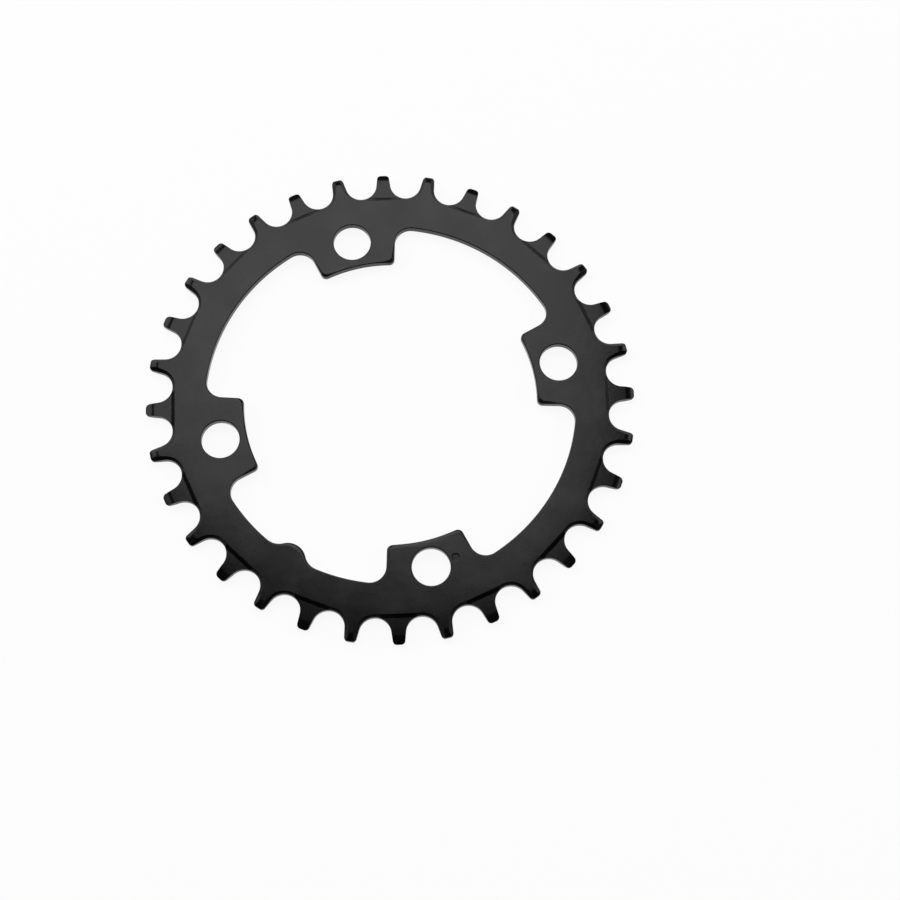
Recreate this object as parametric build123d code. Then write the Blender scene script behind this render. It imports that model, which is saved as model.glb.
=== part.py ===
from build123d import *
import os
from math import atan, cos, degrees, hypot, radians, sin, tan

# A narrow-wide bicycle chainring for a single-ring crank, machined from one aluminium plate.
# It lies flat with its outer face up: the axis is +Z, and the back of the tooth band is z = 0.
# One bolt hole and one wide tooth are on +X, and wide and narrow teeth take turns from there.

# Driving dimensions, in millimetres and degrees.
TOOTH_PAIRS = 16  # each is a wide tooth and a narrow one
CHAIN_PITCH = 12.7  # half-inch bicycle chain
ROLLER_DROP = 4.25  # of the gullets below the pitch circle
GULLET_R = 4.4  # the round that a chain roller drops into
FLANK_LEAN = 12.5  # of a flank, from the middle of its gap
TIP_RISE = 2.9  # of the tips above the pitch circle
TIP_CORNER_R = 1.1
PLATE = 3.6  # tooth band and wide teeth, which fill an outer link
NARROW_TOOTH = 2.0  # narrow teeth, which fit an inner link
STEP_RUN = 1.1  # length of the slope down to a narrow tooth
STEP_SETBACK = 0.05  # of that slope, from the line between its two gullets
WIDE_BEVEL_LEAN = 20.5  # of the bevel up a wide tooth's flank, from the middle of the gap
TIP_BEVEL = 2.15  # length of the bevel at a tip, along the tooth
WIDE_TIP_DROP = 1.1  # depth of that bevel on a wide tooth
NARROW_TIP_DROP = 0.7  # and on a narrow tooth
RIM_WIDTH = 4.5  # full plate from the gullets in
BAND_WIDTH = 9.2  # from the gullets in to the open middle
WEB = 2.4  # plate left inside the rim, where the crank's arms seat on its back
BOLT_CIRCLE = 96.0
BOLTS = 4
BOLT_HOLE = 10.5
TAB_WIDTH = 25.0  # at the bolt circle, with sides that point at the axis
TAB_REACH = 7.4  # from the bolt circle in to the end of a tab
TAB_CORNER_R = 1.5
TAB_ROOT_R = 4.5
LUG_RISE = 3.5  # the lug that shows where the crank arm goes
LUG_R = 4.9
LUG_ROOT_R = 4.9
LUG_ANGLE = 225.0
EDGE_BREAK = 0.3  # round the middle and the bolt holes, on the front
MARK_R = 1.0  # round punch mark beside one bolt hole
MARK_DEPTH = 0.25
MARK_ANGLE = 278.6
MARK_INSET = 0.5  # from the bolt circle

# Values that follow from them.
half_pitch = 90 / TOOTH_PAIRS
pitch_r = CHAIN_PITCH / 2 / sin(radians(half_pitch))
root_r = pitch_r - ROLLER_DROP
gap_x = root_r + GULLET_R
tip_r = pitch_r + TIP_RISE
rim_r = root_r - RIM_WIDTH
band_r = root_r - BAND_WIDTH
bolt_r = BOLT_CIRCLE / 2
tab_r = bolt_r - TAB_REACH
tab_length = band_r - tab_r
tab_angle = degrees(atan(TAB_WIDTH / 2 / bolt_r))
web_back = PLATE - WEB
step = (PLATE - NARROW_TOOTH) / 2  # down to a narrow tooth, and the bevel round each gullet
narrow_face = PLATE - step
step_line = (root_r - step) * cos(radians(half_pitch)) + STEP_SETBACK
tip_line = tip_r - TIP_BEVEL
spare = PLATE  # how far cutters run past the plate
near = PLATE / 10000  # how close counts as on a circle


def turn(angle):
    return Rot(0, 0, angle)


def from_axis(point):
    return hypot(point.X, point.Y)


def on_circle(shape, r):
    return shape.vertices().filter_by(lambda v: abs(from_axis(v) - r) < near)


def wedge(half_angle):
    """A triangle from the axis outwards along +X, longer than the ring's radius."""
    length = tip_r + spare
    width = length * tan(radians(half_angle))
    return make_face(Polyline((0, 0), (length, -width), (length, width), close=True))


def gap():
    """The gap between two teeth, on +X: a round gullet and two leaning flanks."""
    lean = radians(FLANK_LEAN)
    foot_x = gap_x - GULLET_R * sin(lean)
    foot_y = GULLET_R * cos(lean)
    end_x = tip_r + spare
    end_y = foot_y + (end_x - foot_x) * tan(lean)
    gullet = ThreePointArc((foot_x, foot_y), (root_r, 0), (foot_x, -foot_y))
    return make_face(gullet + Polyline((foot_x, -foot_y), (end_x, -end_y), (end_x, end_y), (foot_x, foot_y)))


def gap_bevel():
    """Two cutters that slope the front edge of that gap at 45 degrees, down to the middle of the plate.

    One goes round the gullet, and the other goes on from it up the flank of the wide tooth, at +Y.
    """
    edge_r = GULLET_R + step
    bottom_r = edge_r - PLATE / 2
    top = PLATE + spare
    outline = Polyline((bottom_r, PLATE / 2), (edge_r + spare, top), (bottom_r, top), close=True)
    section = turn(90 + WIDE_BEVEL_LEAN) * make_face(Plane.XZ * outline)
    lean = radians(WIDE_BEVEL_LEAN)
    round_gullet = revolve(section, Axis.Z, 180 - WIDE_BEVEL_LEAN - FLANK_LEAN)
    up_flank = extrude(section, tip_r - root_r + spare, dir=(cos(lean), sin(lean), 0))
    return [Pos(gap_x, 0) * round_gullet, Pos(gap_x, 0) * up_flank]


def across_tooth(*points):
    """A prism across the tooth on +X, with its outline given as distance from the axis and height."""
    width = step_line * tan(radians(half_pitch))
    return extrude(make_face(Plane.XZ * Polyline(*points, close=True)), width, both=True)


# One pair of teeth with its share of the rim: a narrow tooth on +X, between two half wide ones.
tips = turn(half_pitch) * RegularPolygon(tip_r, 2 * TOOTH_PAIRS, major_radius=False)
pair = (tips - Circle(rim_r)) & wedge(2 * half_pitch)
pair -= [turn(side * half_pitch) * gap() for side in (-1, 1)]
tip_corners = pair.vertices().filter_by(lambda v: from_axis(v) > tip_r + near).sort_by(lambda v: abs(v.Y))
pair = extrude(fillet(tip_corners[:4], TIP_CORNER_R), PLATE)

# What is cut from its front face, and from its back alike.
narrow_cut = across_tooth(
    (step_line - STEP_RUN, PLATE + step),
    (step_line + STEP_RUN, narrow_face),
    (tip_line, narrow_face),
    (tip_r, narrow_face - NARROW_TIP_DROP),
    (tip_r + spare, narrow_face - NARROW_TIP_DROP),
    (tip_r + spare, PLATE + step),
)
wide_cut = across_tooth(
    (tip_line, PLATE),
    (tip_r, PLATE - WIDE_TIP_DROP),
    (tip_r + spare, PLATE - WIDE_TIP_DROP),
    (tip_r + spare, PLATE + spare),
    (tip_line, PLATE + spare),
)
upper_cuts = [turn(half_pitch) * cut for cut in gap_bevel()] + [turn(2 * half_pitch) * wide_cut]
cuts = [narrow_cut] + upper_cuts + [mirror(cut, Plane.XZ) for cut in upper_cuts]
pair -= cuts + [mirror(cut, Plane.XY.offset(PLATE / 2)) for cut in cuts]

# The plate inside the rim: open in the middle, with the bolt tabs and the lug left standing.
tab = wedge(tab_angle) - Circle(tab_r)
middle = Circle(band_r) - [turn(360 / BOLTS * n) * tab for n in range(BOLTS)]
middle = fillet(on_circle(middle, tab_r), min(TAB_CORNER_R, tab_length / 3))
middle = fillet(on_circle(middle, band_r), min(TAB_ROOT_R, tab_length / 2))
lug_place = turn(LUG_ANGLE) * Pos(band_r - LUG_RISE + LUG_R, 0)
middle -= lug_place * Circle(LUG_R)
lug_foot = on_circle(middle, band_r).sort_by_distance(lug_place.position)[:2]
middle = fillet(lug_foot, LUG_ROOT_R)
bolt_holes = [place * Circle(BOLT_HOLE / 2) for place in PolarLocations(bolt_r, BOLTS)]
plate = extrude(Circle(rim_r) - middle - bolt_holes, PLATE)
front_edges = plate.edges().filter_by_position(Axis.Z, PLATE, PLATE)
plate = chamfer(front_edges.filter_by(lambda e: from_axis(e @ 0.5) < rim_r - near), EDGE_BREAK)

# The whole ring in one piece, with the seat for the crank's arms turned into its back.
ring = plate + [place * pair for place in PolarLocations(0, TOOTH_PAIRS, 2 * half_pitch)]
ring -= extrude(Circle(rim_r), web_back)

# Punch mark, a shallow dimple with a flat floor.
mark = extrude(Circle(MARK_R), -MARK_DEPTH)
ring -= turn(MARK_ANGLE) * Pos(bolt_r - MARK_INSET, 0, PLATE) * mark

os.makedirs("parts", exist_ok=True)
export_step(ring, "parts/chainring.step")
print(f"chainring: tip diameter {2 * tip_r:.2f}, pitch diameter {2 * pitch_r:.2f}, volume {ring.volume:.0f}")
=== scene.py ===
# %% [markdown]
# # A narrow-wide chainring in satin black
# The object is one flat ring of aluminium, cut from plate, blasted with fine beads and anodised black.
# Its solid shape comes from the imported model. Showing that solid as it is would be the shortest way,
# but its arcs have few points and its edges are sharp, and both show on a dark satin surface.
# So this lesson builds the same ring again with rounder arcs and softened edges, and then gives it its finish.

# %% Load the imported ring
import math

import bmesh
import bpy
from mathutils import Matrix, Vector


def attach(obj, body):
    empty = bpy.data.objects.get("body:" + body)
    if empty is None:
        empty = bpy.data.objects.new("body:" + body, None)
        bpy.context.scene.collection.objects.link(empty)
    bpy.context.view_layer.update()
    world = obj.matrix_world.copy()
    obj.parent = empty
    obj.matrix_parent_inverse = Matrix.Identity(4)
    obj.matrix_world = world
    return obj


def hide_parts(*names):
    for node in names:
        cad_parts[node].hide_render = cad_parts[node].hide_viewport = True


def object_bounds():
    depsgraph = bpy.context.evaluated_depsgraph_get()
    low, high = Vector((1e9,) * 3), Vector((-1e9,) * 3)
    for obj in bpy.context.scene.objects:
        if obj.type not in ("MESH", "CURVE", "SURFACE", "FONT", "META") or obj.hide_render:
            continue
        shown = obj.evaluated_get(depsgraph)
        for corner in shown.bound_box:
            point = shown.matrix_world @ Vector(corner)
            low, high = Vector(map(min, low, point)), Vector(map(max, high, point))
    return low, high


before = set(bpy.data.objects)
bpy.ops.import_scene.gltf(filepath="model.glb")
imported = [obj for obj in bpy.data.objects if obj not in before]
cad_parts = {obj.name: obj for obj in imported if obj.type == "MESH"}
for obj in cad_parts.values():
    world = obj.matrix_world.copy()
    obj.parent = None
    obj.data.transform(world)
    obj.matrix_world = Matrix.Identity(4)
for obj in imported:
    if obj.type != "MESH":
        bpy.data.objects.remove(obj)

MM = 0.001
solid_low, solid_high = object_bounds()
print("solid ring, in mm:", [round(side / MM, 2) for side in solid_high - solid_low])

# %% [markdown]
# ## The camera
# The ring lies flat and the camera looks down on it, a little from one side.
# The pose is written as the camera sees it: how far the ring is turned and tilted, and where the middle of its face is.
# Turning that round gives the camera's own place, so the ring never has to move.

# %% Camera
LENS = 70.02
NEAREST_SEEN = 0.01
RING_TURN, TILT, TILT_TOWARDS = 13.528, -14.904, -3.655  # degrees
FACE_SEEN_AT = Vector((-16.386, 13.716, -483.754)) * MM


def about(axis, degrees):
    return Matrix.Rotation(math.radians(degrees), 3, axis)


ring_seen = about("Z", TILT_TOWARDS) @ about("X", TILT) @ about("Z", RING_TURN - TILT_TOWARDS)
camera_axes = ring_seen.transposed()
camera_place = Vector((0, 0, solid_high.z)) - camera_axes @ FACE_SEEN_AT
camera = bpy.data.objects.new("camera", bpy.data.cameras.new("camera"))
camera.data.lens = LENS
camera.data.clip_start = NEAREST_SEEN
camera.matrix_world = Matrix.Translation(camera_place) @ camera_axes.to_4x4()
bpy.context.scene.collection.objects.link(camera)
bpy.context.scene.camera = camera
print("camera at", [round(side, 4) for side in camera_place])

# %% [markdown]
# ## The floor
# The ring lies on a plain white sweep. Enough light to make white paint come out pure white would spoil the black ring.
# So the floor shows most of its white straight to the camera, and the rest comes from the lamps.
# The lamps' part keeps the thin shadow that says the ring is lying on something.
# Reflections show the same white, so the low walls of the ring, which mirror the floor at a flat angle, come out grey.
# The edges of the floor are turned up into a low backdrop, so that a low view still ends in white.

# %% White paint
SHOWN_WHITE = 0.92
PAINT = 0.9


def new_material(name):
    material = bpy.data.materials.new(name)
    material.use_nodes = True
    material.node_tree.nodes.clear()
    return material, material.node_tree.nodes, material.node_tree.links


def math_node(nodes, links, operation, *values):
    """A Math node that takes numbers and other nodes' outputs alike."""
    node = nodes.new("ShaderNodeMath")
    node.operation = operation
    for socket, value in zip(node.inputs, values):
        if isinstance(value, bpy.types.NodeSocket):
            links.new(value, socket)
        else:
            socket.default_value = value
    return node.outputs[0]


floor_paint, nodes, links = new_material("white_floor")
lit = nodes.new("ShaderNodeBsdfDiffuse")
lit.inputs["Color"].default_value = (PAINT, PAINT, PAINT, 1)
shown = nodes.new("ShaderNodeEmission")
shown.inputs["Strength"].default_value = 1.0
ray = nodes.new("ShaderNodeLightPath")
mirrored_ray = math_node(nodes, links, "MAXIMUM", ray.outputs["Is Glossy Ray"], ray.outputs["Is Transmission Ray"])
seen_ray = math_node(nodes, links, "MAXIMUM", ray.outputs["Is Camera Ray"], mirrored_ray)
mix = nodes.new("ShaderNodeMixShader")
links.new(math_node(nodes, links, "MULTIPLY", seen_ray, SHOWN_WHITE), mix.inputs[0])
links.new(lit.outputs[0], mix.inputs[1])
links.new(shown.outputs[0], mix.inputs[2])
links.new(mix.outputs[0], nodes.new("ShaderNodeOutputMaterial").inputs["Surface"])
print("white paint:", len(nodes), "nodes")

# %% Floor
FLOOR_HALF = 4.0
BACKDROP_HEIGHT = 0.4
FLOOR_GAP = 0.02 * MM  # a floor that touched the ring's back would flicker through it
square = ((-1, -1), (1, -1), (1, 1), (-1, 1))
floor_points = [(x * FLOOR_HALF, y * FLOOR_HALF, z) for z in (0, BACKDROP_HEIGHT) for x, y in square]
floor_faces = [(0, 1, 2, 3), (1, 0, 4, 5), (2, 1, 5, 6), (3, 2, 6, 7), (0, 3, 7, 4)]
floor_mesh = bpy.data.meshes.new("floor")
floor_mesh.from_pydata(floor_points, [], floor_faces)
floor_mesh.materials.append(floor_paint)
floor = bpy.data.objects.new("floor", floor_mesh)
floor.location.z = solid_low.z - FLOOR_GAP
bpy.context.scene.collection.objects.link(floor)
print("floor:", 2 * FLOOR_HALF, "m wide")

# %% [markdown]
# ## The light
# A satin black surface is seen by what it reflects, so each lamp here has a reflection to make.
# The softbox beyond the far side of the ring is mirrored by its face, which fades towards us where that image ends.
# The other two stand lower, on the left and the right. Only the rounded tips of the teeth on those sides catch them.
# Slopes that face us mirror the unlit side of the studio, so they stay nearly black.
# Light from all round would be simpler to set up, but it would grey them, so the studio is nearly dark.

# %% Softboxes
LAMP_DISTANCE = 1.0


def softbox(name, side, lean, roll, width, height, watts):
    """A rectangular lamp that points at the ring from a given side and lean off the vertical, in degrees."""
    lamp = bpy.data.lights.new(name, "AREA")
    lamp.shape = "RECTANGLE"
    lamp.size = width
    lamp.size_y = height
    lamp.energy = watts
    stand = bpy.data.objects.new(name, lamp)
    direction = about("Z", side) @ about("Y", lean) @ about("Z", 90 + roll)
    stand.matrix_world = direction.to_4x4() @ Matrix.Translation((0, 0, LAMP_DISTANCE))
    bpy.context.scene.collection.objects.link(stand)


softbox("far_softbox", side=80.8, lean=29.5, roll=-18.4, width=0.54, height=0.71, watts=5.4)
softbox("left_softbox", side=138.2, lean=60.2, roll=32.2, width=1.12, height=0.57, watts=6.5)
softbox("right_softbox", side=0.6, lean=62.5, roll=-30.9, width=0.89, height=0.36, watts=3.8)

# %% Dark studio
DARK_STUDIO = 0.03
world = bpy.data.worlds.new("studio")
world.use_nodes = True
studio_light = world.node_tree.nodes["Background"]
studio_light.inputs["Color"].default_value = (1, 1, 1, 1)
studio_light.inputs["Strength"].default_value = DARK_STUDIO
bpy.context.scene.world = world
bpy.context.scene.view_settings.view_transform = "Standard"
print("studio:", DARK_STUDIO, "of white")

# %% [markdown]
# ## The outline of one pair of teeth
# Wide and narrow teeth take turns around the ring, so one narrow tooth between two half wide ones is enough to make.
# A gap between teeth is a round gullet, which a chain roller drops into, and two leaning flanks.
# The outline could be traced by hand, but every point of it follows from a few sizes, so it is worked out from them.
# We work in millimetres here, because Blender's mesh tools have tolerances that suit numbers of about that size.

# %% Points on arcs
STEP_ON_1_MM = 12  # degrees between the points of an arc of 1 mm radius


def polar(radius, degrees, centre=(0, 0)):
    angle = math.radians(degrees)
    return Vector((centre[0] + radius * math.cos(angle), centre[1] + radius * math.sin(angle)))


def arc_angles(radius, start, end):
    """Even steps round an arc, smaller on a larger one."""
    count = math.ceil(abs(end - start) * math.sqrt(radius) / STEP_ON_1_MM)
    return [start + (end - start) * n / count for n in range(count + 1)]


def arc(radius, start, end, centre=(0, 0)):
    return [polar(radius, angle, centre) for angle in arc_angles(radius, start, end)]


def circle(radius, centre=(0, 0)):
    return arc(radius, 0, 360, centre)[:-1]


def turned(points, degrees):
    return [Matrix.Rotation(math.radians(degrees), 2) @ point for point in points]


def mirrored(points, degrees=0.0):
    """The same points on the other side of a line through the axis, in the opposite order."""
    return turned([Vector((point.x, -point.y)) for point in turned(points[::-1], -degrees)], degrees)


print("a circle of 5 mm radius has", len(circle(5)), "points")

# %% Outline of the teeth
PAIRS = 16
CHAIN_PITCH = 12.7
ROLLER_DROP = 4.25
TIP_RISE = 2.9
GULLET_R = 4.4
FLANK_LEAN = 12.5
TIP_CORNER_R = 1.1
PLATE = 3.6
pair_angle = 360 / PAIRS
half_pitch = pair_angle / 4
pitch_r = CHAIN_PITCH / 2 / math.sin(math.radians(half_pitch))
root_r = pitch_r - ROLLER_DROP
tip_r = pitch_r + TIP_RISE
gap_x = root_r + GULLET_R


def half_gap():
    """Half of a gap on +X, from the bottom of its gullet to the middle of the tip beside it."""
    along = polar(1, FLANK_LEAN)
    outwards = polar(1, half_pitch)
    gullet = arc(GULLET_R, 180, 90 + FLANK_LEAN, (gap_x, 0))
    corner = gullet[-1] + TIP_CORNER_R * polar(1, 90 + FLANK_LEAN)
    corner += along * (tip_r - TIP_CORNER_R - corner.dot(outwards)) / along.dot(outwards)
    return gullet + arc(TIP_CORNER_R, FLANK_LEAN - 90, half_pitch, corner) + [tip_r * outwards]


gap = mirrored(half_gap()) + half_gap()[1:]
print("one gap:", len(gap), "points, root radius", round(root_r, 2), "tip radius", round(tip_r, 2))

# %% [markdown]
# ## Cutting the pair
# On the real ring a cutter slopes the edge of every gullet, steps the narrow teeth down
# and rounds the tips over, on both faces.
# We do the same: raise the outline to the plate's thickness and cut it with a solid for each pass.
# A boolean is the right tool here, because the slopes meet each other along lines that nobody has to work out.
# The pair is the same on both sides and on both faces, so a quarter of it is cut, and mirrored afterwards.

# %% Solids from sections
def loft(sections):
    """A closed solid through a row of outlines with the same number of points."""
    solid = bmesh.new()
    rows = [[solid.verts.new(point) for point in section] for section in sections]
    for lower, upper in zip(rows, rows[1:]):
        for n in range(len(lower)):
            solid.faces.new((lower[n - 1], lower[n], upper[n], upper[n - 1]))
    solid.faces.new(rows[0])
    solid.faces.new(rows[-1])
    bmesh.ops.recalc_face_normals(solid, faces=solid.faces)
    mesh = bpy.data.meshes.new("solid")
    solid.to_mesh(mesh)
    solid.free()
    made = bpy.data.objects.new("solid", mesh)
    bpy.context.scene.collection.objects.link(made)
    return made


def raised(outline, height):
    return [Vector((point.x, point.y, height)) for point in outline]


def moved(sections, place):
    return [[place @ point for point in section] for section in sections]


CUT_X = 57.5  # where the pair ends towards the axis
cut_corner = Vector((CUT_X, CUT_X * math.tan(math.radians(pair_angle / 2))))
quarter_outline = turned(gap, half_pitch) + [cut_corner, Vector((CUT_X, 0))]
quarter = loft([raised(quarter_outline, PLATE / 2), raised(quarter_outline, PLATE)])
print("uncut quarter:", len(quarter.data.polygons), "faces")

# %% Cutter round a gullet
STEP = 0.8
WIDE_BEVEL_LEAN = 20.5
TOO_CLOSE = 1  # degree between two sections of the cutter
PAST = PLATE  # how far cutters run past what they cut


def round_gap():
    """Sections of the slope round the gullet on +X and on up the flank of the wide tooth, at +Y."""
    edge_r = GULLET_R + STEP
    inner_r = edge_r - PLATE / 2
    shape = [(inner_r, PLATE / 2), (edge_r + PAST, PLATE + PAST), (inner_r, PLATE + PAST)]
    flank_starts = 90 + WIDE_BEVEL_LEAN
    far_side = arc_angles(GULLET_R, 180, 90 + FLANK_LEAN)[1:]
    angles = arc_angles(GULLET_R, 270 - FLANK_LEAN, 180)
    angles += [angle for angle in far_side if angle > flank_starts + TOO_CLOSE]
    angles.append(flank_starts)
    sections = [[polar(r, angle, (gap_x, 0)).to_3d() + Vector((0, 0, z)) for r, z in shape] for angle in angles]
    flank = polar(tip_r - root_r + PAST, WIDE_BEVEL_LEAN).to_3d()
    return sections + [[point + flank for point in sections[-1]]]


print("cutter round a gullet:", len(round_gap()), "sections")

# %% Cutters across a tooth
STEP_RUN = 1.1
STEP_SETBACK = 0.05
TIP_ROUND = 2.58
step_line = (root_r - STEP) * math.cos(math.radians(half_pitch)) + STEP_SETBACK
tip_line = tip_r - TIP_ROUND
narrow_face = PLATE - STEP


def across_tooth(points):
    """Sections of a cut straight across the tooth on +X, from points that give distance from the axis and height."""
    reach = step_line * math.tan(math.radians(half_pitch))
    return [[Vector((x, side * reach, z)) for x, z in points] for side in (-1, 1)]


def tip_curve(face, first_lean, last_lean, steps):
    """The profile of a tip that leans over more and more, as distances from the axis and heights."""
    leans = [math.radians(first_lean + (last_lean - first_lean) * n / steps) for n in range(steps + 1)]
    radius = TIP_ROUND / (math.sin(leans[-1]) - math.sin(leans[0]))
    start = Vector((tip_line, face)) - radius * Vector((math.sin(leans[0]), math.cos(leans[0])))
    return [start + radius * Vector((math.sin(lean), math.cos(lean))) for lean in leans]


narrow_tip = tip_curve(narrow_face, first_lean=2.0, last_lean=30.5, steps=7)
narrow_cut = across_tooth(
    [(step_line - STEP_RUN, PLATE + STEP), (step_line + STEP_RUN, narrow_face)]
    + narrow_tip
    + [(tip_r + PAST, narrow_tip[-1].y), (tip_r + PAST, PLATE + STEP)]
)
wide_tip = tip_curve(PLATE, first_lean=1.0, last_lean=40.0, steps=10)
wide_cut = across_tooth(
    wide_tip + [(tip_r + PAST, wide_tip[-1].y), (tip_r + PAST, PLATE + PAST), (tip_line, PLATE + PAST)]
)
print("a wide tip goes down by", round(PLATE - wide_tip[-1].y, 2))
print("a narrow tip goes down by", round(narrow_face - narrow_tip[-1].y, 2))

# %% Cut a quarter of the pair
half_turn = Matrix.Rotation(math.radians(half_pitch), 4, "Z")
cutters = [loft(narrow_cut), loft(moved(round_gap(), half_turn)), loft(moved(wide_cut, half_turn @ half_turn))]
for cutter in cutters:
    removed = quarter.modifiers.new("cut", "BOOLEAN")
    removed.object = cutter
    removed.operation = "DIFFERENCE"
    removed.solver = "MANIFOLD"
cut_pair = bpy.data.meshes.new_from_object(quarter.evaluated_get(bpy.context.evaluated_depsgraph_get()))
for leftover in [quarter] + cutters:
    bpy.data.objects.remove(leftover)
print("a quarter of the pair:", len(cut_pair.polygons), "faces after", len(cutters), "cuts")

# %% [markdown]
# ## Softened edges
# No machined edge is perfectly sharp. After blasting it has a radius of about a tenth of a millimetre,
# and it catches a thin line of light.
# A Bevel node in the material could fake that line, but then the mesh would stay sharp.
# So every sharp edge gets a real bevel. The faces it makes are marked, because the anodise wears there first.
# The flat ends where the pair will meet its neighbours are taken off first, so that they get no bevel,
# and points closer than two bevels are merged, so that no bevel runs into the next one.

# %% Clean the quarter and mirror it
JOIN_WITHIN = 0.002
NEAR = 0.001
FLAT = math.radians(0.1)
SHORTEST_EDGE = 0.13


def at_a_cut(point):
    """Whether a point lies on each of the four planes where the quarter was cut off."""
    side = math.degrees(math.atan2(point.y, point.x))
    distances = (point.x - CUT_X, point.y, point.z - PLATE / 2, side - pair_angle / 2)
    return [abs(distance) < NEAR for distance in distances]


def join_flat_faces(mesh):
    bmesh.ops.dissolve_limit(mesh, angle_limit=FLAT, verts=mesh.verts, edges=mesh.edges, delimit=set())


def is_end(face):
    return any(all(flags) for flags in zip(*(at_a_cut(vert.co) for vert in face.verts)))


work = bmesh.new()
work.from_mesh(cut_pair)
bmesh.ops.remove_doubles(work, verts=work.verts, dist=JOIN_WITHIN)
join_flat_faces(work)
inner_points = [vert for vert in work.verts if not any(at_a_cut(vert.co))]
bmesh.ops.remove_doubles(work, verts=inner_points, dist=SHORTEST_EDGE)
ends = [face for face in work.faces if is_end(face)]
bmesh.ops.delete(work, geom=ends, context="FACES")
to_other_side = Matrix.Diagonal((1, -1, 1, 1))
to_other_face = Matrix.Translation((0, 0, PLATE)) @ Matrix.Diagonal((1, 1, -1, 1))
for mirror in (to_other_side, to_other_face):
    copy = bmesh.ops.duplicate(work, geom=work.verts[:] + work.edges[:] + work.faces[:])["geom"]
    bmesh.ops.transform(work, matrix=mirror, verts=[part for part in copy if isinstance(part, bmesh.types.BMVert)])
    bmesh.ops.reverse_faces(work, faces=[part for part in copy if isinstance(part, bmesh.types.BMFace)])
    bmesh.ops.remove_doubles(work, verts=work.verts, dist=JOIN_WITHIN)
join_flat_faces(work)
print("whole pair:", len(work.faces), "faces,", len(ends), "ends off each quarter")
print("shortest edge, in mm:", round(min(edge.calc_length() for edge in work.edges), 4))

# %% Round the edges of the pair
EDGE_ROUND = 0.07
SHARP = math.radians(12)
worn_edge = work.faces.layers.float.new("worn_edge")
sharp_edges = [edge for edge in work.edges if edge.is_manifold and edge.calc_face_angle() > SHARP]
rounded = bmesh.ops.bevel(
    work,
    geom=sharp_edges,
    offset=EDGE_ROUND,
    offset_type="OFFSET",
    segments=3,
    profile=0.5,
    affect="EDGES",
    clamp_overlap=False,
)
for face in rounded["faces"]:
    face[worn_edge] = 1.0
print("soft pair:", len(sharp_edges), "sharp edges rounded,", len(work.faces), "faces")
work.to_mesh(cut_pair)
work.free()

# %% [markdown]
# ## The plate inside the teeth
# Four bolt tabs and one small lug stand into the open middle.
# Their corners are arcs that run smoothly into each other. The outline could be drawn as a curve and adjusted by eye.
# But each arc's centre follows from what it touches, so it is worked out, and one eighth of the outline is enough:
# the rest is that eighth, mirrored and turned.

# %% Outline of the open middle
RIM_WIDTH = 4.5
BAND_WIDTH = 9.2
BOLT_R = 48.0
TAB_REACH = 7.4
TAB_HALF_WIDTH = 12.5
TAB_CORNER_R = 1.5
TAB_ROOT_R = 4.5
LUG_RISE = 3.5
LUG_R = 4.9
LUG_QUARTER = 2
HALFWAY = 45  # degrees, from the middle of a tab to halfway to the next one
rim_r = root_r - RIM_WIDTH
band_r = root_r - BAND_WIDTH
tab_r = BOLT_R - TAB_REACH
tab_side = math.degrees(math.atan(TAB_HALF_WIDTH / BOLT_R))


def eighth(with_lug):
    """From the middle of a tab to halfway to the next one."""
    corner_back = math.degrees(math.asin(TAB_CORNER_R / (tab_r + TAB_CORNER_R)))
    root_on = math.degrees(math.asin(TAB_ROOT_R / (band_r - TAB_ROOT_R)))
    corner = polar(tab_r + TAB_CORNER_R, tab_side - corner_back)
    root = polar(band_r - TAB_ROOT_R, tab_side + root_on)
    points = arc(tab_r, 0, tab_side - corner_back)
    points += arc(TAB_CORNER_R, tab_side - corner_back + 180, tab_side + 90, corner)
    points += arc(TAB_ROOT_R, tab_side - 90, tab_side + root_on, root)
    if not with_lug:
        return points + arc(band_r, tab_side + root_on, HALFWAY)
    lug_x = band_r - LUG_RISE + LUG_R
    foot_x = band_r - LUG_R
    foot_side = math.degrees(math.acos((foot_x**2 + lug_x**2 - 4 * LUG_R**2) / (2 * foot_x * lug_x)))
    lug = polar(lug_x, HALFWAY)
    foot = polar(foot_x, HALFWAY - foot_side)
    to_lug = math.degrees(math.atan2(lug.y - foot.y, lug.x - foot.x))
    points += arc(band_r, tab_side + root_on, HALFWAY - foot_side)
    return points + arc(LUG_R, HALFWAY - foot_side, to_lug, foot) + arc(LUG_R, to_lug + 180, HALFWAY + 180, lug)


middle = []
for turn in range(4):
    half = eighth(with_lug=turn == LUG_QUARTER)
    middle += turned(half + mirrored(half, HALFWAY), 90 * turn)
middle = [point for n, point in enumerate(middle) if (point - middle[n - 1]).length > NEAR]
print("open middle:", len(middle), "points")
print("from", round(min(p.length for p in middle), 2), "to", round(max(p.length for p in middle), 2), "mm off the axis")

# %% [markdown]
# ## Walls and broken edges
# The wall round an opening could be a plain extrusion with a bevel on it. Here a loop is moved along a small profile,
# which gives clean strips of faces and lets the profile change along the way.
# That is needed because the front edge is broken by hand: a little everywhere,
# more at the corners of the tabs and on the lug, and in a long flat round at the end of one tab.
# Such places catch a soft band of light or stay dark.

# %% Strips along a loop
plate = bmesh.new()
worn_edge = plate.faces.layers.float.new("worn_edge")


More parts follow.
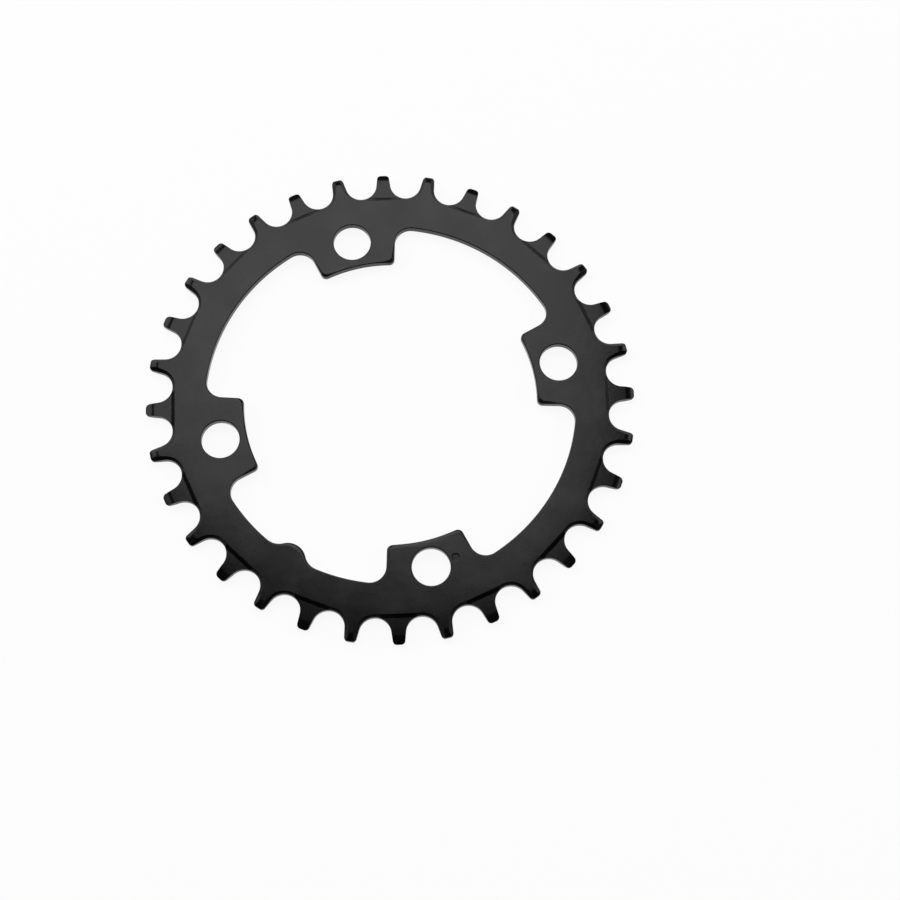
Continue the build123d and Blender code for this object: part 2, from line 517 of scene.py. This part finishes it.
def soften(path, *rounds):
    """A path with rounded corners. Each round gives its reach before and after the corner, and its number of steps.

    Each point says how much wear the stretch that leads to it gets, most halfway round a corner.
    """
    path = [Vector(point) for point in path]
    points = [(path[0], 0.0)]
    for before, corner, after, (reach_before, reach_after, steps) in zip(path, path[1:], path[2:], rounds):
        start = corner + (before - corner).normalized() * reach_before
        end = corner + (after - corner).normalized() * reach_after
        points.append((start, 0.0))
        for n in range(1, steps + 1):
            on = n / steps
            halfway = (n - 0.5) / steps
            point = (1 - on) ** 2 * start + 2 * on * (1 - on) * corner + on**2 * end
            points.append((point, 2 * halfway * (1 - halfway)))
    return points + [(path[-1], 0.0)]


def wall(loop, profile_at):
    """Strips of faces round an opening. The profile at each point gives distances into the metal, and heights."""
    tangents = [(after - before).normalized() for before, after in zip(loop, loop[1:] + loop[:1])]
    into_metal = []
    for n in range(len(loop)):
        along = (tangents[n - 1] + tangents[n]).normalized()
        into_metal.append(Vector((along.y, -along.x)))
    columns = []
    for point, side in zip(loop, into_metal):
        profile = profile_at(point)
        columns.append([plate.verts.new(raised([point + inset * side], height)[0]) for (inset, height), _ in profile])
    rows = [list(row) for row in zip(*columns)]
    for lower, upper, (_, wear) in zip(rows, rows[1:], profile[1:]):
        for n in range(len(loop)):
            plate.faces.new((lower[n - 1], lower[n], upper[n], upper[n - 1]))[worn_edge] = wear
    return rows[0], rows[-1]


# %% Walls of the middle and the bolt holes
SEAT = 1.2
HOLE_R = 5.25
BROKEN_EDGE = 0.3
BREAK_STEPS = 7
FRONT_STRIP, SEAT_STRIP = 0.1, 0.4  # flat strips beside a round, which keep its shading off the faces
SMALL_ROUND = (EDGE_ROUND, EDGE_ROUND, 2)
# Where more comes off: the place, how far that spreads, and how much wider and deeper the break is there.
lug_crest = polar(band_r - LUG_RISE, 90 * LUG_QUARTER + HALFWAY)
softer_places = []
for n in range(4):
    softer_places.append((polar(tab_r, 90 * n - tab_side), 2.4, 0.95, 0.95))
    softer_places.append((polar(tab_r, 90 * n + tab_side), 2.4, 0.6, 0.6))
softer_places.append((polar(tab_r, 0), 7.0, 0.3, 0.2))
softer_places.append((polar(tab_r, 180), 7.0, 0.3, 0.2))
softer_places.append((polar(tab_r, 270), 7.0, 1.2, -0.1))
softer_places.append((lug_crest, 4.0, 1.0, 0.3))


def front_edge_profile(width, depth):
    path = ((SEAT_STRIP, SEAT), (0, SEAT), (0, PLATE), (width + FRONT_STRIP, PLATE))
    return soften(path, SMALL_ROUND, (depth, width, BREAK_STEPS))


def middle_edge(point):
    width = depth = BROKEN_EDGE
    for place, spread, wider, deeper in softer_places:
        share = math.exp(-(((point - place).length / spread) ** 2))
        width += wider * share
        depth += deeper * share
    return front_edge_profile(width, depth)


def hole_edge(_):
    return front_edge_profile(BROKEN_EDGE, BROKEN_EDGE)


walls = [wall(middle, middle_edge)]
walls += [wall(circle(HOLE_R, polar(BOLT_R, 90 * n)), hole_edge) for n in range(4)]
print("walls round the openings:", len(plate.faces), "faces")

# %% Walls of the punch mark and the seat
MARK_R = 1.0
MARK_ANGLE = 278.6
MARK_INSET = 0.5  # from the bolt circle
MARK_DEPTH = 0.25
MARK_STRIP = 0.2
MARK_ROUND = (0.08, 0.08, 2)


def mark_edge(_):
    mark_floor = PLATE - MARK_DEPTH
    path = ((-MARK_STRIP, mark_floor), (0, mark_floor), (0, PLATE), (MARK_STRIP, PLATE))
    return soften(path, MARK_ROUND, MARK_ROUND)


def seat_edge(_):
    return soften(((-SEAT_STRIP, SEAT), (0, SEAT), (0, 0), (SEAT_STRIP, 0)), SMALL_ROUND, SMALL_ROUND)


mark_bottom, mark_rim = wall(circle(MARK_R, polar(BOLT_R - MARK_INSET, MARK_ANGLE)), mark_edge)
seat_rim, back_rim = wall(circle(rim_r), seat_edge)
print("all walls:", len(plate.faces), "faces")

# %% Faces of the plate
def edge_of_pairs(height):
    corners = [turned([cut_corner], pair_angle * n - pair_angle / 2) for n in range(PAIRS)]
    return [plate.verts.new(raised(corner, height)[0]) for corner in corners]


def fill(*rims):
    edges = []
    for rim in rims:
        edges += [plate.edges.get(pair) or plate.edges.new(pair) for pair in zip(rim, rim[1:] + rim[:1])]
    bmesh.ops.triangle_fill(plate, use_beauty=True, use_dissolve=False, edges=edges)


front_edge = edge_of_pairs(PLATE)
back_edge = edge_of_pairs(0)
fill(front_edge, mark_rim, *(front for _, front in walls))
fill(seat_rim, *(back for back, _ in walls))
fill(back_rim, back_edge)
fill(mark_bottom)
plate_mesh = bpy.data.meshes.new("plate")
plate.to_mesh(plate_mesh)
plate.free()
plate_object = bpy.data.objects.new("plate", plate_mesh)
bpy.context.scene.collection.objects.link(plate_object)
print("plate:", len(plate_mesh.polygons), "faces")

# %% [markdown]
# ## The black finish
# Black anodise is a thin, hard, dyed layer that grows out of the aluminium,
# so it shows every mark that was in the metal.
# Fine beads were blasted at the ring first, and each left a round dimple of about a tenth of a millimetre.
# That makes it satin.
# One flat colour with one roughness would look like plastic, so the surface is made uneven at several sizes:
# the dimples, a slow waviness of the faces, and faint turning lines on the back.
# The faces also fall away towards the teeth, by a degree or so, because blasting takes the most off near an edge.
# All of it hangs on Object coordinates, so it stays on the metal from any side.

# %% Patterns in the metal
NOISE_LOW, NOISE_HIGH = 0.35, 0.65  # the usual range of a noise
DIMPLE_SIZE = 0.16
LINE_SPACING = 0.6
SKIN = 0.05  # how near a face counts as on it
anodise, nodes, links = new_material("black_anodise")
place = nodes.new("ShaderNodeTexCoord").outputs["Object"]


def noise(size, detail):
    """Cloudy unevenness in patches of about the given size in millimetres."""
    clouds = nodes.new("ShaderNodeTexNoise")
    links.new(place, clouds.inputs["Vector"])
    clouds.inputs["Scale"].default_value = 1 / (size * MM)
    clouds.inputs["Detail"].default_value = detail
    return clouds.outputs[0]


def between(value, low, high):
    """The usual range of a noise, stretched to run from low to high."""
    stretch = nodes.new("ShaderNodeMapRange")
    links.new(value, stretch.inputs["Value"])
    for label, number in (("From Min", NOISE_LOW), ("From Max", NOISE_HIGH), ("To Min", low), ("To Max", high)):
        stretch.inputs[label].default_value = number
    return stretch.outputs[0]


dimples = nodes.new("ShaderNodeTexVoronoi")
dimples.feature = "SMOOTH_F1"
links.new(place, dimples.inputs["Vector"])
dimples.inputs["Scale"].default_value = 1 / (DIMPLE_SIZE * MM)
sides = nodes.new("ShaderNodeSeparateXYZ")
links.new(place, sides.inputs[0])
squares = [math_node(nodes, links, "MULTIPLY", sides.outputs[axis], sides.outputs[axis]) for axis in "XY"]
from_axis = math_node(nodes, links, "SQRT", math_node(nodes, links, "ADD", *squares))
turning = nodes.new("ShaderNodeTexNoise")
turning.noise_dimensions = "1D"
links.new(from_axis, turning.inputs["W"])
turning.inputs["Scale"].default_value = 1 / (LINE_SPACING * MM)
on_back = math_node(nodes, links, "LESS_THAN", sides.outputs["Z"], (SEAT + SKIN) * MM)
on_front = math_node(nodes, links, "GREATER_THAN", sides.outputs["Z"], (PLATE - SKIN) * MM)
print("patterns in the metal:", len(nodes), "nodes")

# %% Heights, in thousandths of a millimetre
DIMPLE_HEIGHT = 4.0
WAVE_SIZE, WAVE_DETAIL, WAVE_HEIGHT = 6.0, 3.0, 30.0
LINE_HEIGHT = 9.0
FALL_FROM = 57.0  # millimetres off the axis
FALL = 1.5  # after the first millimetre, and four times that after the second
heights = math_node(nodes, links, "MULTIPLY", dimples.outputs["Distance"], DIMPLE_HEIGHT)
waves = math_node(nodes, links, "MULTIPLY", noise(WAVE_SIZE, WAVE_DETAIL), WAVE_HEIGHT)
heights = math_node(nodes, links, "ADD", heights, waves)
height_on_back = math_node(nodes, links, "MULTIPLY", on_back, LINE_HEIGHT)
lines = math_node(nodes, links, "MULTIPLY", turning.outputs[0], height_on_back)
heights = math_node(nodes, links, "ADD", heights, lines)
past_rim = math_node(nodes, links, "MAXIMUM", math_node(nodes, links, "SUBTRACT", from_axis, FALL_FROM * MM), 0.0)
falls = math_node(nodes, links, "MULTIPLY", math_node(nodes, links, "MULTIPLY", past_rim, past_rim), FALL / MM**2)
heights = math_node(nodes, links, "SUBTRACT", heights, falls)
bump = nodes.new("ShaderNodeBump")
bump.inputs["Distance"].default_value = 0.001 * MM
links.new(heights, bump.inputs["Height"])
print("with heights:", len(nodes), "nodes")

# %% [markdown]
# ## Dye and wear
# The dye is a neutral black that varies a little from place to place, and the gloss varies with it.
# Handling leaves a thin pale film on the front, in loose patches.
# Along the edges a chain and handling rub the black thin, in short broken stretches.
# The ring is nearly new, so there is little of either.
# The edge faces were marked when they were made. That is more certain than guessing edges from how the surface bends.

# %% Black anodise
DYE_DEEP, DYE_THIN = 0.002, 0.0035
FILM, FILM_FROM = 0.011, -0.3  # starting below nothing leaves gaps between the patches
RUBBED = 0.024
SPECULAR = 0.16
SMOOTHEST, ROUGHEST = 0.196, 0.212
RUBBED_SMOOTHER = 0.03
# How large the patches of each are, in millimetres, and how finely they are broken up.
RUBBED_SIZE, RUBBED_DETAIL = 1.7, 3.0
FILM_SIZE, FILM_DETAIL = 11.0, 3.0
DYE_SIZE, DYE_DETAIL = 9.0, 4.0


def blend(factor, low, high):
    """A mix of two greys, each a number or another mix."""
    mixed = nodes.new("ShaderNodeMix")
    mixed.data_type = "RGBA"
    links.new(factor, mixed.inputs[0])
    for socket, colour in zip(mixed.inputs[6:8], (low, high)):
        if isinstance(colour, bpy.types.NodeSocket):
            links.new(colour, socket)
        else:
            socket.default_value = (colour, colour, colour, 1)
    return mixed.outputs[2]


worn = nodes.new("ShaderNodeAttribute")
worn.attribute_name = "worn_edge"
thin_stretches = between(noise(RUBBED_SIZE, RUBBED_DETAIL), 0.0, 1.0)
rubbed = math_node(nodes, links, "MULTIPLY", worn.outputs["Fac"], thin_stretches)
film_patches = between(noise(FILM_SIZE, FILM_DETAIL), FILM_FROM, 1.0)
handled = math_node(nodes, links, "MULTIPLY", on_front, film_patches)
patches = noise(DYE_SIZE, DYE_DETAIL)
dye = blend(between(patches, 0.0, 1.0), DYE_DEEP, DYE_THIN)
smoother = math_node(nodes, links, "MULTIPLY", rubbed, RUBBED_SMOOTHER)
roughness = math_node(nodes, links, "SUBTRACT", between(patches, SMOOTHEST, ROUGHEST), smoother)
metal = nodes.new("ShaderNodeBsdfPrincipled")
metal.inputs["Specular IOR Level"].default_value = SPECULAR
links.new(blend(rubbed, blend(handled, dye, FILM), RUBBED), metal.inputs["Base Color"])
links.new(roughness, metal.inputs["Roughness"])
links.new(bump.outputs[0], metal.inputs["Normal"])
links.new(metal.outputs[0], nodes.new("ShaderNodeOutputMaterial").inputs["Surface"])
print("black anodise:", len(nodes), "nodes")

# %% [markdown]
# ## Sixteen pairs make a ring
# On the real ring all the pairs are cut by one program that is repeated. An Array modifier could repeat the pair too,
# but Geometry Nodes can also join the plate, merge the touching points and set the finish in the same tree.
# Their inputs are named, so that a ring with more teeth needs other numbers and no new nodes.

# %% Tree that repeats the pair
ring_tree = bpy.data.node_groups.new("pairs_round_a_ring", "GeometryNodeTree")
tree_inputs = {
    "Tooth Pair": "Geometry",
    "Pairs": "Int",
    "Plate": "Object",
    "Join Within": "Float",
    "Finish": "Material",
}
for label, kind in tree_inputs.items():
    ring_tree.interface.new_socket(label, in_out="INPUT", socket_type="NodeSocket" + kind)
ring_tree.interface.new_socket("Ring", in_out="OUTPUT", socket_type="NodeSocketGeometry")
nodes, links = ring_tree.nodes, ring_tree.links
given = nodes.new("NodeGroupInput")
places = nodes.new("GeometryNodePoints")
links.new(given.outputs["Pairs"], places.inputs["Count"])
number = nodes.new("GeometryNodeInputIndex")
middle_of_pair = math_node(nodes, links, "ADD", number.outputs[0], 0.5)
share_of_turn = math_node(nodes, links, "DIVIDE", middle_of_pair, given.outputs["Pairs"])
angle = math_node(nodes, links, "MULTIPLY", share_of_turn, 2 * math.pi)
about_axis = nodes.new("ShaderNodeCombineXYZ")
links.new(angle, about_axis.inputs["Z"])
turn_pair = nodes.new("FunctionNodeEulerToRotation")
links.new(about_axis.outputs[0], turn_pair.inputs[0])
repeat = nodes.new("GeometryNodeInstanceOnPoints")
links.new(places.outputs[0], repeat.inputs["Points"])
links.new(given.outputs["Tooth Pair"], repeat.inputs["Instance"])
links.new(turn_pair.outputs[0], repeat.inputs["Rotation"])
print("pairs:", len(nodes), "nodes")

# %% Tree that joins them to the plate
plate_in = nodes.new("GeometryNodeObjectInfo")
links.new(given.outputs["Plate"], plate_in.inputs["Object"])
together = nodes.new("GeometryNodeJoinGeometry")
links.new(repeat.outputs[0], together.inputs[0])
links.new(plate_in.outputs["Geometry"], together.inputs[0])
real = nodes.new("GeometryNodeRealizeInstances")
links.new(together.outputs[0], real.inputs[0])
joined = nodes.new("GeometryNodeMergeByDistance")
links.new(real.outputs[0], joined.inputs["Geometry"])
links.new(given.outputs["Join Within"], joined.inputs["Distance"])
finish = nodes.new("GeometryNodeSetMaterial")
links.new(joined.outputs[0], finish.inputs["Geometry"])
links.new(given.outputs["Finish"], finish.inputs["Material"])
links.new(finish.outputs[0], nodes.new("NodeGroupOutput").inputs["Ring"])
print("whole tree:", len(nodes), "nodes")

# %% Repeat the pair
blank = bpy.data.objects.new("blank", cut_pair)
bpy.context.scene.collection.objects.link(blank)
rings = blank.modifiers.new("pairs round a ring", "NODES")
rings.node_group = ring_tree
sockets = {item.name: item.identifier for item in ring_tree.interface.items_tree if item.in_out == "INPUT"}
rings[sockets["Pairs"]] = PAIRS
rings[sockets["Plate"]] = plate_object
rings[sockets["Join Within"]] = JOIN_WITHIN
rings[sockets["Finish"]] = anodise
whole = bpy.data.meshes.new_from_object(blank.evaluated_get(bpy.context.evaluated_depsgraph_get()))
blank.modifiers.remove(rings)
for leftover in (blank, plate_object):
    bpy.data.objects.remove(leftover)
print("ring:", len(whole.polygons), "faces")

# %% [markdown]
# ## One closed skin
# The real ring is one piece of metal, so its mesh has to be one closed skin,
# with no open edge left between pair and plate.
# Smooth shading over everything would bend the light on the flat faces.
# Weighted normals let the large faces decide, so they stay flat and only the small rounds beside them bend.

# %% Count open edges, scale and shade the ring
skin = bmesh.new()
skin.from_mesh(whole)
bmesh.ops.recalc_face_normals(skin, faces=skin.faces)
open_edges = [edge for edge in skin.edges if not edge.is_manifold]
for face in skin.faces:
    face.smooth = True
print("open edges:", len(open_edges), "volume, in mm3:", round(skin.calc_volume()))
bmesh.ops.scale(skin, vec=(MM, MM, MM), verts=skin.verts)
skin.to_mesh(whole)
skin.free()
ring = bpy.data.objects.new("chainring_anodised", whole)
bpy.context.scene.collection.objects.link(ring)
shading = ring.modifiers.new("flat faces stay flat", "WEIGHTED_NORMAL")
shading.keep_sharp = True
ring.data = bpy.data.meshes.new_from_object(ring.evaluated_get(bpy.context.evaluated_depsgraph_get()))
ring.modifiers.remove(shading)

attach(ring, "root")
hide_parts("chainring")
